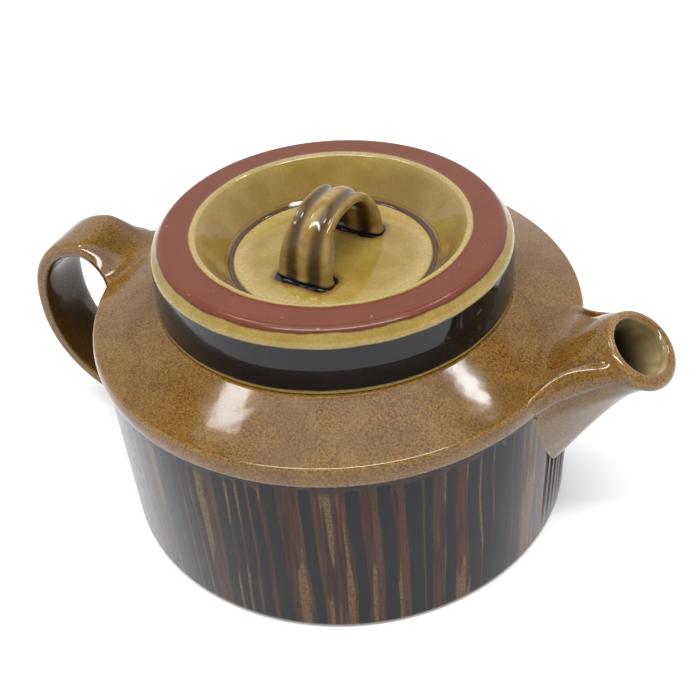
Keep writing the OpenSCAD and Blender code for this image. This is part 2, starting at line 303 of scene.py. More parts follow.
def pot_outline():
    """Outer profile of the pot from the table up over the bead to the lid's seat."""
    foot = [(WALL_R - FOOT_ROUND, 0, 0), (WALL_R, 0, FOOT_ROUND)]
    return rounded(foot + BEAD + [(SEAT_R, SEAT_Z, 0)])


class PotSurface:
    """The pot's outside by azimuth and by length along its profile."""

    def __init__(self):
        outline = pot_outline()
        length = np.r_[0, np.cumsum(np.linalg.norm(np.diff(outline, axis=0), axis=1))]
        self.u = np.arange(0, length[-1], 0.2)
        self.r = np.interp(self.u, length, outline[:, 0])
        self.z = np.interp(self.u, length, outline[:, 1])
        self.bead_u = self.u[np.argmax(self.r)]

    def along_height(self, z):
        """Profile length at a height below the bead."""
        low = self.u < self.bead_u
        return np.interp(z, self.z[low], self.u[low])

    def along_radius(self, r):
        """Profile length at a radius above the bead."""
        high = self.u >= self.bead_u
        return np.interp(-np.asarray(r), -self.r[high], self.u[high])

    def at(self, azimuth, u):
        r, z = np.interp(u, self.u, self.r), np.interp(u, self.u, self.z)
        return np.stack([r * np.cos(azimuth), r * np.sin(azimuth), z], -1)

    def normal(self, azimuth, u):
        step = 0.4
        dr = np.interp(u + step, self.u, self.r) - np.interp(u - step, self.u, self.r)
        dz = np.interp(u + step, self.u, self.z) - np.interp(u - step, self.u, self.z)
        return unit(np.stack([dz * np.cos(azimuth), dz * np.sin(azimuth), -dr], -1))


POT = PotSurface()


def leaving(azimuth, u):
    """Closed line just under the pot's surface, and the direction in which a limb leaves there:
    along the surface, towards the inside of the line."""
    sink = 0.05
    points, normals = POT.at(azimuth, u), POT.normal(azimuth, u)
    run = np.roll(points, -1, 0) - np.roll(points, 1, 0)
    inwards = unit(np.cross(normals, run))
    inwards *= np.sign(np.einsum("ij,ij->i", inwards, points.mean(0) - points).sum())
    return points - normals * sink, inwards


def root(middle, half_w, top_r, low_z, angles, top_power, low_power):
    """Line and directions of a limb that leaves the pot across the bead, round an azimuth in
    degrees. Angle 0 is on the bead and 90 at the top."""
    c, s = np.cos(angles), np.sin(angles)
    r = mix(BEAD_R, top_r, np.abs(s) ** top_power)
    low_u = POT.along_height(low_z)
    u = np.where(s > 0, POT.along_radius(r), mix(POT.bead_u, low_u, np.abs(s) ** low_power))
    return leaving(math.radians(middle) + half_w * c / BEAD_R, u)


# ---------------------------------------------------------------- spout

def turn_z(points, degrees):
    """Points turned about the pot's axis."""
    a = math.radians(degrees)
    spin = np.array([[math.cos(a), math.sin(a), 0], [-math.sin(a), math.cos(a), 0], [0, 0, 1]])
    return points @ spin


def outward(rings):
    """Normals of a skin through rings, pointing away from its middle."""
    along = np.gradient(rings, axis=0)
    around = np.roll(rings, -1, 1) - np.roll(rings, 1, 1)
    normal = unit(np.cross(along, around))
    half_way = len(rings) // 2
    away = rings[half_way] - rings[half_way].mean(0)
    return normal * np.sign((normal[half_way] * away).sum())


def above_bead(rings):
    """Distance of each point of the spout's rings above the nearer of the two carried-on beads,
    measured round the ring. Rib 0 and the rib opposite it run along the beads."""
    ribs = rings.shape[1]
    step = np.linalg.norm(np.roll(rings, -1, 1) - rings, axis=-1)
    way = np.cumsum(step, 1) - step
    whole, half = step.sum(1)[:, None], way[:, ribs // 2][:, None]
    over = np.minimum(way, half - way)
    under = np.maximum(half - way, way - whole)
    return np.where(np.arange(ribs) <= ribs // 2, over, under)


def carry_bead(outside, t):
    """Carries the bead on along both sides of the spout, with a soft hollow below it. Both grow
    over the first quarter of the way out and fade over the last fifth."""
    ridge_height, hollow_depth = 1.15, 0.6
    ridge_low, ridge_rise, ridge_high = -6.0, 4, 3.2
    hollow_at, hollow_half = -9.0, 4.0
    above = above_bead(outside)
    ridge = smooth((above - ridge_low) / ridge_rise) * (1 - smooth(above / ridge_high))
    hollow = np.exp(-((above - hollow_at) / hollow_half) ** 2)
    grown = (smooth(t / 0.25) * (1 - smooth((t - 0.8) / 0.2)))[:, None]
    lift = grown * (ridge_height * ridge - hollow_depth * hollow)
    return outside + outward(outside) * lift[..., None]


def spout_root(angles):
    """First point of each of the spout's ribs, the direction in which it leaves the pot, and its
    nearness to the bead from 0 to 1."""
    s, c = np.sin(angles), np.cos(angles)
    below = np.maximum(-s, 0)
    # On the wall the ribs start evenly spaced, although the root narrows slowly at first
    s_root = np.where(s < 0, -below ** 0.6, s)
    root_angles = np.arctan2(s_root, np.sign(c) * np.sqrt(1 - s_root ** 2))
    half_w = SPOUT_HALF_W - ROOT_SKEW * c
    start, leave = root(SPOUT_TURN, half_w, VALLEY_R, SPOUT_LOW, root_angles,
                        top_power=1.35, low_power=2.8)
    # Ribs near the bead leave side by side, along the bead and very slightly upwards
    from_bead = np.degrees(np.arctan2(s, np.abs(c)))
    beside_bead = smooth(1 - np.abs(from_bead) / np.where(s < 0, 30, 50))
    opposite = len(angles) // 2
    bead_way = np.where(c[:, None] > 0, leave[0], leave[opposite]) + (0, 0, 0.06)
    leave = unit(mix(leave, bead_way, beside_bead[:, None]))
    # Below the bead they also stand off the wall, so that the two skins part cleanly
    stand_off = smooth(below / 0.35)[:, None] * unit(start * (1, 1, 0))
    leave = unit(leave + 0.5 * stand_off)
    under_way = turn_z(np.array((0.5, 0, 0.866)), SPOUT_TURN)
    leave = unit(mix(leave, under_way, 0.85 * below[:, None] ** 2))
    return start, leave, beside_bead


def spout_lip(angles):
    """Rings over the rolled lip from its outer to its inner edge, and three directions: how the
    outside arrives there, how the channel leaves there, and where the lip looks."""
    s, c = np.sin(angles), np.cos(angles)
    above, below = np.maximum(s, 0), np.maximum(-s, 0)
    lean = math.radians(MOUTH_LEAN)
    across = np.array((0, 1, 0))
    upwards = np.array((-math.sin(lean), 0, math.cos(lean)))
    outwards = np.array((math.cos(lean), 0, math.sin(lean)))
    middle = np.array((MOUTH_REACH, 0, MOUTH_Z))
    # The bead's ribs reach the lip this many degrees above its widest point
    bead_rise = 22
    ring = angles + np.sign(c) * math.radians(bead_rise) * c * c
    side = np.cos(ring)[:, None] * across + np.sin(ring)[:, None] * upwards
    # The lip is rolled thinner at the top than underneath, where the skin also necks in below it
    radius = LIP_ROLL * (1 - 0.25 * above + 0.42 * below)[:, None]
    begin = np.radians(mix(8, 30, smooth(above)) - 54 * smooth(below))
    roll = middle + MOUTH_HALF_W * np.cos(ring)[:, None] * across \
        + MOUTH_HALF_H * np.sin(ring)[:, None] * upwards - radius * side

    lip = []
    for k in range(11):
        turn = mix(begin, math.pi, k / 10)
        on_roll = roll + radius * (np.cos(turn)[:, None] * side + np.sin(turn)[:, None] * outwards)
        lip.append(turn_z(on_roll, SPOUT_TURN))
    arrive = -np.sin(begin)[:, None] * side + np.cos(begin)[:, None] * outwards
    beside = unit(np.stack([np.full(len(angles), 0.83), -0.12 * np.sign(c), np.full(len(angles), 0.54)], -1))
    arrive = unit(mix(arrive, beside, (np.abs(c) ** 6)[:, None]))
    flare = np.radians(10 + 25 * below)[:, None]
    back = -turn_z(np.cos(flare) * outwards + np.sin(flare) * side, SPOUT_TURN)
    return np.array(lip), turn_z(arrive, SPOUT_TURN), back, turn_z(outwards, SPOUT_TURN)


def spout_rings():
    """Rings of the spout: out along the outside, over the rolled lip and back down the channel.
    The number of rings at the end that line the channel is returned too."""
    ribs = 192
    angles = np.arange(ribs) * 2 * math.pi / ribs
    s, c = np.sin(angles), np.cos(angles)
    above, below = np.maximum(s, 0), np.maximum(-s, 0)
    start, leave, beside_bead = spout_root(angles)
    lip, arrive, back, along = spout_lip(angles)

    leave_by = (14 * beside_bead + 6 * above + 11 * below + 2)[:, None]
    arrive_by = (8 + above + below)[:, None]
    t = np.linspace(0, 1, 49)
    t = mix(t, smooth(t), 0.6)
    shell = bezier(start, start + leave * leave_by, lip[0] - arrive * arrive_by, lip[0], t)

    # The channel runs straight from an opening in the wall to the lip's inner edge, where it flares
    opening_half_w, opening_z = 9.5, 52
    y = opening_half_w * c
    z = opening_z + np.where(s > 0, 9, 8) * s
    opening = turn_z(np.stack([np.sqrt((WALL_R - 0.5) ** 2 - y ** 2), y, z], -1), SPOUT_TURN)
    straight_by, flare_by = 5, 9
    channel = bezier(opening, opening + along * straight_by, lip[-1] + back * flare_by, lip[-1], t[::-1][1:])
    return np.concatenate([carry_bead(shell, t), lip[1:], channel]), len(channel) + 3


def make_spout(material):
    rings, lined = spout_rings()
    rows, columns = rings.shape[:2]
    depth = np.zeros(rows)
    depth[rows - lined:] = np.minimum(1, np.linspace(0.5, 1.6, lined))
    lining = np.repeat(depth, columns)
    return piece("spout_skin", rings, grid_faces(rows, columns, wrap_rows=True), material,
                 "pot", "spout", lining)


# ---------------------------------------------------------------- handle

def strap_section(angles, half_w, half_t):
    """Rounded section of the strap: (across, outwards) for each angle."""
    return half_w * power(np.cos(angles), 0.42), half_t * power(np.sin(angles), 0.62)


def handle_path(t):
    """Middle of the strap at t from 0 to 2 and its direction, in the XZ plane."""
    high = HANDLE_HIGH + 0.6
    out = HANDLE_OUT - 3.2
    foot = HANDLE_LOW + STRAP_HALF_T
    widest_z = 50
    upper = [(-BEAD_R + 11, WALL_H + 9.5), (-BEAD_R - 9, high), (-out, high), (-out, widest_z)]
    lower = [(-out, widest_z), (-out - 0.5, 30), (-BEAD_R - 20, foot - 1), (-WALL_R + 6, foot)]
    points, directions = [], []
    for value in np.atleast_1d(t):
        p = np.array(upper if value < 1 else lower, float)
        k = value if value < 1 else value - 1
        points.append(bezier(*p, [k])[0, 0])
        a, b, c = np.diff(p, axis=0)
        directions.append(a * (1 - k) ** 2 + 2 * b * k * (1 - k) + c * k * k)
    return np.array(points), unit(np.array(directions))


def strap_rings(t, angles):
    """Rings of the strap square to its path, and the path's direction at each ring."""
    middle, ahead = handle_path(t)
    y, v = strap_section(angles, STRAP_HALF, STRAP_HALF_T)
    x = middle[:, :1] + v * ahead[:, 1:]
    z = middle[:, 1:] - v * ahead[:, :1]
    rings = np.stack([x, np.repeat(y[None], len(middle), 0), z], -1)
    return rings, np.stack([ahead[:, 0], np.zeros(len(middle)), ahead[:, 1]], -1)


def make_handle(material):
    ribs = 112
    angles = np.arange(ribs) * 2 * math.pi / ribs
    above = np.maximum(np.sin(angles), 0)[:, None]
    t = np.linspace(0.40, 1.76, 61)
    strap, ahead = strap_rings(t, angles)

    start, leave = root(180, half_w=-20.5, top_r=71.5, low_z=WALL_H + 0.5, angles=angles,
                        top_power=1.5, low_power=1.4)
    grow = np.linspace(0, 1, 25)
    grow = mix(grow, smooth(grow), 0.5)[:-1]
    edge = np.abs(np.cos(angles))[:, None] ** 4
    leave_by = 3 + 7 * above + 4 * edge
    upper = bezier(start, start + leave * leave_by, strap[0] - ahead[0] * mix(5, 9, above), strap[0], grow)

    # Towards its foot on the wall the strap spreads a little on all sides
    foot_half_w, foot_half_t = 14.2, 7.4
    y, v = foot_half_w * power(np.cos(angles), 0.6), foot_half_t * power(np.sin(angles), 0.7)
    wall_u = POT.along_height(HANDLE_LOW + STRAP_HALF_T)
    foot, inwards = leaving(math.pi - y / WALL_R, wall_u - v)
    lower = bezier(strap[-1], strap[-1] + ahead[-1] * 5, foot + inwards * 3, foot, 1 - grow[::-1])
    rings = np.concatenate([upper, strap, lower])
    points, faces = capped(rings)
    return piece("handle_strap", points, faces, material, "pot", "handle")


# ---------------------------------------------------------------- turned pieces

def make_wall(material):
    inner = WALL_R - WALL_T
    outline = rounded([(0, FOOT_DEPTH, 0), (FOOT_INNER, FOOT_DEPTH, 1.2), (FOOT_INNER, 0, 0.6),
                       (WALL_R, 0, FOOT_ROUND), (WALL_R, WALL_H, 0.12), (inner, WALL_H, 0.12),
                       (inner, FLOOR_Z, 9), (0, FLOOR_Z, 0)])
    points, faces = turned(outline, closed=False)
    wall = piece("pot_wall", points, faces, material, "pot", "pot_body")
    drill_strainer(wall)
    return wall


def drill_strainer(wall):
    """Cuts the rows of strainer holes behind the spout: 2, 3, 4 and 3 from the lowest row up."""
    gap_y, gap_z, first_z, radius = 7.5, 6.5, WALL_H - 27, 2.0
    shape = bmesh.new()
    for row, count in enumerate((2, 3, 4, 3)):
        for i in range(count):
            place = Matrix.Rotation(math.radians(SPOUT_TURN), 4, "Z") @ Matrix.Translation(
                Vector((WALL_R - WALL_T / 2, (i - (count - 1) / 2) * gap_y, first_z + row * gap_z)) * MM)
            place = place @ Matrix.Rotation(math.pi / 2, 4, "Y")
            bmesh.ops.create_cone(shape, cap_ends=True, segments=32, radius1=radius * MM,
                                  radius2=radius * MM, depth=(WALL_T + 6) * MM, matrix=place)
    mesh = bpy.data.meshes.new("strainer_drills")
    shape.to_mesh(mesh)
    shape.free()
    drills = bpy.data.objects.new("strainer_drills", mesh)
    bpy.context.scene.collection.objects.link(drills)
    cut = wall.modifiers.new("strainer", "BOOLEAN")
    cut.operation, cut.solver, cut.object = "DIFFERENCE", "EXACT", drills
    bpy.context.view_layer.update()
    evaluated = wall.evaluated_get(bpy.context.evaluated_depsgraph_get())
    cut_mesh = bpy.data.meshes.new_from_object(evaluated)
    wall.modifiers.clear()
    wall.data = cut_mesh
    bpy.data.objects.remove(drills)


def make_shoulder(material):
    neck_z = SEAT_Z - 8.5
    inner = WALL_R - WALL_T
    joint = [(inner, WALL_H, 0.12), (WALL_R, WALL_H, 0.12)]
    seat = [(SEAT_R, SEAT_Z, 1.2), (RECESS_R, SEAT_Z, 0.6), (RECESS_R, RECESS_Z, 0.5),
            (MOUTH_R, RECESS_Z, 1.0)]
    neck = [(MOUTH_R, neck_z, 1.2), (MOUTH_R + 7, neck_z, 2), (inner - 2, WALL_H + 3.5, 2)]
    points, faces = turned(rounded(joint + BEAD + seat + neck, closed=True))
    return piece("pot_shoulder", points, faces, material, "pot", "shoulder")


def make_lid(material):
    top, floor = LID_TOP, WELL_Z
    wall_t, flange_r = 4.6, 41.2
    well = [(0, floor + 0.9, 0), (GROOVE_R - 9, floor + 0.6, 30), (GROOVE_R - 1.3, floor + 0.3, 0.8),
            (GROOVE_R, floor - 0.6, 0.7), (GROOVE_R + 1.6, floor + 0.9, 2.2), (WELL_R - 0.9, top + 0.3, 2.2)]
    side = [(WELL_R + 1.4, top - 0.25, 1.5), (LID_R - 4.1, top - 0.15, 2.8), (LID_R - 0.5, top - 4.2, 3),
            (LID_R, SEAT_Z + 9, 0.01), (LID_R + 0.2, SEAT_Z + 0.05, 0.7)]
    inside = [(LID_R - wall_t, SEAT_Z + 0.05, 0.6), (LID_R - wall_t, top - wall_t, 2),
              (WELL_R + wall_t - 2, top - wall_t, 2)]
    flange = [(flange_r, floor - wall_t + 1, 2), (flange_r, FLANGE_LOW, 0.8),
              (flange_r - wall_t, FLANGE_LOW, 0.8), (flange_r - wall_t, floor - wall_t, 1)]
    outline = rounded(well + side + inside + flange + [(0, floor - wall_t, 0)])
    points, faces = turned(outline, closed=False)
    return piece("lid_cover", points, faces, material, "lid", "lid")


# ---------------------------------------------------------------- lid's arched handle

def make_knob(material):
    """Arched ribbon with three rounded ridges outside, and glaze pooled round its feet."""
    steps, ribs = 72, 72
    foot_half_w, top_half_w, thickness = 9.6, 7.3, 4.4
    rise = KNOB_TOP - WELL_Z - thickness / 2

    def arch(a):
        """Place on the arch's middle line above the well, at an angle from 0 to pi."""
        return np.array((KNOB_HALF_SPAN * power(math.cos(a), 0.8), rise * math.sin(a) ** 0.8))

    angles = np.arange(ribs) * 2 * math.pi / ribs
    rings = []
    for k in range(steps + 1):
        a = math.pi * (1 - k / steps)
        x = KNOB_HALF_SPAN * power(math.cos(a), 0.8)
        z = WELL_Z + 0.2 + (rise - 0.2) * math.sin(a) ** 0.8
        step = 0.02
        along = unit(arch(max(a - step, 0)) - arch(min(a + step, math.pi)))
        half = mix(foot_half_w, top_half_w, smooth(math.sin(a)))
        foot = np.exp(-((z - WELL_Z) / 1.3) ** 2)
        y = (half + 0.7 * foot) * power(np.cos(angles), 0.7)
        v = (thickness / 2 + 1.5 * foot) * power(np.sin(angles), 0.7)
        outer = np.maximum(np.sin(angles), 0)
        ridge_height = 0.45
        v = v + ridge_height * np.cos(y / half * 2 * math.pi) * smooth(outer * 2) * (1 - foot)
        normal = np.array((-along[1], along[0]))
        rings.append(np.stack([x + v * normal[0], y, z + v * normal[1]], -1))
    rings = np.array(rings)
    rings[..., 2] = np.maximum(rings[..., 2], WELL_Z - 0.6)
    rings = turn_z(rings, KNOB_TURN)
    points, faces = capped(rings)
    return piece("lid_knob", points, faces, material, "lid", "lid_handle")


# ---------------------------------------------------------------- infuser basket

def circle(x, y, radius, count):
    a = np.arange(count) * 2 * math.pi / count
    return np.stack([x + radius * np.cos(a), y + radius * np.sin(a)], -1)


def make_basket_wall(material):
    """Sheet with staggered rows of round holes, rolled into a cylinder."""
    columns, rows = 54, 14
    low, high = BASKET_LOW, BASKET_HIGH
    pitch = 2 * math.pi / columns
    bottom_band, top_band = 5.0, 7.0
    cell = (high - low - bottom_band - top_band) / rows
    points, faces, seen = [], [], {}

    def vertex(angle, z, depth):
        key = (round(angle / pitch * 1000) % (columns * 1000), round(z * 1000), depth)
        if key not in seen:
            seen[key] = len(points)
            r = BASKET_R - SHEET_T * depth
            points.append((r * math.cos(angle), r * math.sin(angle), z))
        return seen[key]

    def quad(corners):
        faces.append(tuple(vertex(a, z, 0) for a, z in corners))
        faces.append(tuple(vertex(a, z, 1) for a, z in reversed(corners)))

    def cell_with_hole(angle, z):
        half_a, half_z = pitch / 2, cell / 2
        frame_line = [(1, 0), (1, 1), (0, 1), (-1, 1), (-1, 0), (-1, -1), (0, -1), (1, -1)]
        hole_line = [(math.cos(k * math.pi / 8), math.sin(k * math.pi / 8)) for k in range(16)]
        outer = [(angle + half_a * x, z + half_z * y) for x, y in frame_line]
        inner = [(angle + PERFORATION_R / BASKET_R * x, z + PERFORATION_R * y) for x, y in hole_line]
        for k in range(8):
            a, b = outer[k], outer[(k + 1) % 8]
            h0, h1, h2 = inner[2 * k], inner[2 * k + 1], inner[(2 * k + 2) % 16]
            quad([a, b, h2, h1, h0])
        for k in range(16):
            a, b = inner[k], inner[(k + 1) % 16]
            faces.append((vertex(*a, 0), vertex(*b, 0), vertex(*b, 1), vertex(*a, 1)))

    for row in range(rows):
        for column in range(columns):
            cell_with_hole((column + (row % 2) / 2) * pitch, low + bottom_band + (row + 0.5) * cell)
    for z0, z1 in ((low, low + bottom_band), (high - top_band, high)):
        for k in range(2 * columns):
            a, b = k * pitch / 2, (k + 1) * pitch / 2
            quad([(a, z0), (b, z0), (b, z1), (a, z1)])
    for z in (low, high):
        for k in range(2 * columns):
            a, b = k * pitch / 2, (k + 1) * pitch / 2
            faces.append((vertex(a, z, 0), vertex(b, z, 0), vertex(b, z, 1), vertex(a, z, 1)))
    return piece("basket_sleeve", points, faces, material, "infuser", "basket_wall")


def make_basket_floor(material):
    """Disc with rings of holes round a middle one."""
    gap = 5.0
    holes = [circle(0, 0, PERFORATION_R, 12)]
    for ring in range(1, 8):
        for i in range(6 * ring):
            a = 2 * math.pi * i / (6 * ring)
            holes.append(circle(ring * gap * math.cos(a), ring * gap * math.sin(a), PERFORATION_R, 12))
    points, faces = plate(circle(0, 0, BASKET_R - SHEET_T, 108), holes, SHEET_T)
    points = points + (0, 0, BASKET_LOW)
    return piece("basket_base", points, faces, material, "infuser", "basket_floor")


def make_basket_rim(material):
    roll_w, sheet_top = 2.2, RECESS_Z + SHEET_T
    outline = rounded([(BASKET_R, RECESS_Z, 0.3), (RIM_R, RECESS_Z, 1.0), (RIM_R, RECESS_Z + roll_w, 1.0),
                       (RIM_R - roll_w, RECESS_Z + roll_w, 1.0), (RIM_R - roll_w, sheet_top, 0.5),
                       (BASKET_R, sheet_top, 0.3)], closed=True)
    points, faces = turned(outline, 192)
    return piece("basket_collar", points, faces, material, "infuser", "basket_rim")


def make_basket_tabs(material):
    low, high = limits("basket_tabs")
    half_w, tall, corner, hole_r = high[1], high[2] - low[2], 4.0, 2.5
    outline = [(-half_w, 0), (half_w, 0)]
    for cx, start in ((half_w - corner, 0), (-half_w + corner, 90)):
        for k in range(9):
            a = math.radians(start + k * 90 / 8)
            outline.append((cx + corner * math.cos(a), tall - corner + corner * math.sin(a)))
    flat, faces = plate(outline, [circle(0, tall / 2, hole_r, 24)], SHEET_T)
    points, all_faces = [], []
    for side in (-1, 1):
        inner = high[0] - SHEET_T if side > 0 else low[0]
        start = len(points)
        points += [(inner + p[2], p[0], low[2] + p[1]) for p in flat]
        all_faces += [tuple(i + start for i in f) for f in faces]
    return piece("basket_ears", points, all_faces, material, "infuser", "basket_tabs")


# ---------------------------------------------------------------- materials

def feed(tree, value, socket):
    """Links a socket to another node's output, or sets it to a plain value."""
    if isinstance(value, bpy.types.NodeSocket):
        tree.links.new(value, socket)
    elif isinstance(value, tuple) and len(value) == 3 and socket.type == "RGBA":
        socket.default_value = (*value, 1)
    else:
        socket.default_value = value


def add_node(tree, kind, inputs, **settings):
    """New shader node with its settings, then its inputs, filled in."""
    node = tree.nodes.new("ShaderNode" + kind)
    for name, value in settings.items():
        setattr(node, name, value)
    for name, value in inputs.items():
        feed(tree, value, node.inputs[name])
    return node


class Paint:
    """One procedural material. Its place values are millimetres in the part's own frame."""

    def __init__(self, name, roughness, specular=0.4):
        self.material = bpy.data.materials.new(name)
        self.material.use_nodes = True
        self.tree = self.material.node_tree
        self.shader = self.tree.nodes["Principled BSDF"]
        self.set("Roughness", roughness)
        self.set("IOR", 1.5)
        self.set("Specular IOR Level", specular)
        metres = self.node("TexCoord", {}).outputs["Object"]
        scaled = self.node("VectorMath", {0: metres, "Scale": 1 / MM}, operation="SCALE")
        self.place = scaled.outputs["Vector"]
        self.x, self.y, self.z = self.node("SeparateXYZ", {0: self.place}).outputs

    def node(self, kind, inputs, **settings):
        return add_node(self.tree, kind, inputs, **settings)

    def set(self, name, value):
        """Gives one input of the material's shader its value."""
        feed(self.tree, value, self.shader.inputs[name])

    def math(self, operation, a, b=0.0, c=0.0):
        return self.node("Math", {0: a, 1: b, 2: c}, operation=operation).outputs[0]

    def add(self, a, b):
        return self.math("ADD", a, b)

    def minus(self, a, b):
        return self.math("SUBTRACT", a, b)

    def times(self, a, b):
        return self.math("MULTIPLY", a, b)

    def times_add(self, a, b, c):
        """a times b, plus c."""
        return self.math("MULTIPLY_ADD", a, b, c)

    def step(self, value, low, high):
        """0 below low, 1 above high, smooth between. With low above high it falls instead."""
        limits_in = {"Value": value, "From Min": low, "From Max": high}
        return self.node("MapRange", limits_in, interpolation_type="SMOOTHSTEP").outputs["Result"]

    def band(self, value, low, high, soft):
        """1 between low and high, 0 outside, with soft edges."""
        past_low = self.step(value, low - soft, low + soft)
        return self.minus(past_low, self.step(value, high - soft, high + soft))

    def mix(self, share, a, b):
        return self.node("Mix", {"Factor": share, "A": a, "B": b}, data_type="RGBA").outputs["Result"]

    def cover(self, base, colour, where, most):
        """Base colour with another laid over it: at most the share most, where the mask is 1."""
        return self.mix(self.times(where, most), base, colour)

    def noise(self, size, detail=2.0, stretch=(1, 1, 1), seed=0.0, roughness=0.5):
        """Noise from 0 to 1 whose features are about size millimetres across."""
        scale = [s / size for s in stretch]
        shifted = {"Scale": scale, "Location": (seed, seed * 0.7, -seed), "Vector": self.place}
        place = self.node("Mapping", shifted).outputs["Vector"]
        inputs = {"Scale": 1.0, "Detail": detail, "Roughness": roughness, "Vector": place}
        return self.node("TexNoise", inputs).outputs["Fac"]

    def radius(self):
        return self.math("SQRT", self.add(self.times(self.x, self.x), self.times(self.y, self.y)))

    def attribute(self, name):
        """A value stored at the mesh's vertices, such as bend or lining."""
        return self.node("Attribute", {}, attribute_name=name).outputs["Fac"]

    def looking(self):
        """The direction in which the surface looks, as its parts along X, Y and Z."""
        return self.node("SeparateXYZ", {0: self.node("NewGeometry", {}).outputs["Normal"]}).outputs

    def grazing(self):
        """0 where the surface faces the viewer, 1 along its outline."""
        return self.node("LayerWeight", {"Blend": 0.5}).outputs["Facing"]

    def bump(self, height, distance, strength):
        inputs = {"Strength": strength, "Distance": distance * MM, "Height": height}
        return self.node("Bump", inputs).outputs["Normal"]

    def finish(self, colour, roughness, normal):
        """Fills in the shader. Without a roughness it keeps the one that the paint was made with."""
        self.set("Base Color", colour)
        if roughness is not None:
            self.set("Roughness", roughness)
        self.set("Normal", normal)
        return self.material


def speckled_brown(paint):
    """Colour of the brown glaze: fine dark and light grain over soft blotches, dark where it pools,
    ochre where it breaks over an edge, olive in the spout's channel with painted shade almost black deep in
    it, and painted shade on the handle's side towards the pot and on surfaces that look down."""
    grain = paint.noise(0.62, 3, seed=3.0, roughness=0.65)
    flecks = paint.noise(0.42, 1, seed=11.0)
    blotch = paint.noise(9.0, 3, seed=5.0)
    stain = paint.noise(21.0, 3, seed=37.0)
    base = paint.mix(paint.step(grain, 0.30, 0.70), (0.066, 0.026, 0.003), (0.280, 0.132, 0.018))
    base = paint.cover(base, (0.255, 0.150, 0.045), paint.step(blotch, 0.35, 0.7), 0.30)
    base = paint.cover(base, (0.040, 0.017, 0.006), paint.step(flecks, 0.62, 0.72), 0.45)
    base = paint.cover(base, (0.080, 0.032, 0.004), paint.step(stain, 0.50, 0.66), 0.32)
    bend = paint.attribute("bend")
    rough_edge = paint.times_add(grain, 0.12, 0.04)
    thin = paint.step(paint.add(bend, paint.times(rough_edge, -1)), 0.0, 0.22)
    ochre = paint.mix(paint.step(grain, 0.35, 0.65), (0.180, 0.090, 0.025), (0.380, 0.240, 0.090))
    base = paint.cover(base, ochre, thin, 0.55)
    pooled = paint.step(paint.times(bend, -1), 0.02, 0.20)
    base = paint.cover(base, (0.070, 0.036, 0.030), pooled, 0.6)
    # Painted shade: darker on the side of the handle that looks at the pot, and on every surface that looks
    # down
    look_x, look_y, look_z = paint.looking()
    radial = paint.times_add(look_x, paint.x, paint.times(look_y, paint.y))
    inwards = paint.step(paint.math("DIVIDE", radial, paint.radius()), -0.15, -0.75)
    inwards = paint.times(inwards, paint.step(paint.x, 4 - BEAD_R, -BEAD_R))
    underneath = paint.times(paint.step(look_z, 0.0, -0.6), 0.40)
    painted_shade = paint.math("MAXIMUM", paint.times(inwards, 0.78), underneath)
    base = paint.mix(painted_shade, base, (0.030, 0.013, 0.004))
    olive = paint.mix(paint.step(blotch, 0.3, 0.7), (0.170, 0.120, 0.045), (0.330, 0.255, 0.120))
    lining = paint.attribute("lining")
    # Painted shade: the channel's lining turns almost black deeper inside the spout
    olive = paint.mix(paint.step(lining, 0.60, 0.95), olive, (0.022, 0.013, 0.006))
    return paint.mix(paint.step(lining, 0.1, 0.4), base, olive)


def brown_glaze():
    paint = Paint("brown_glaze", 0.16, specular=0.5)
    ripple = paint.add(paint.noise(7.0, 1, seed=21.0), paint.times(paint.noise(1.1, 2, seed=8.0), 0.06))
    return paint.finish(speckled_brown(paint), paint.times_add(paint.noise(4.0, 2), 0.08, 0.07),
                        paint.bump(ripple, 0.25, 0.32))


def strokes(paint, along, width, seed, least_gap, more_gap, drop):
    """One layer of upright brush strokes: a mask, and a random value for each stroke. Along is the
    place round the wall, and each stroke ends at random up to drop below the bead."""
    inputs = {"Scale": 1.0, "Randomness": 0.8, "W": paint.times_add(along, 1 / width, seed)}
    cell = paint.node("TexVoronoi", inputs, voronoi_dimensions="1D", feature="F1")
    edge = paint.node("TexVoronoi", inputs, voronoi_dimensions="1D", feature="DISTANCE_TO_EDGE")
    choice, spread, start = paint.node("SeparateColor", {0: cell.outputs["Color"]}).outputs
    gap = paint.times_add(paint.times(spread, spread), more_gap, least_gap)
    from_side = paint.minus(paint.times(edge.outputs["Distance"], width), gap)
    from_top = paint.minus(paint.times_add(start, -drop, WALL_H - 0.5), paint.z)
    round_top = 1.8
    inside = paint.math("SMOOTH_MIN", from_side, from_top, round_top)
    return paint.step(inside, -0.2, 0.4), choice


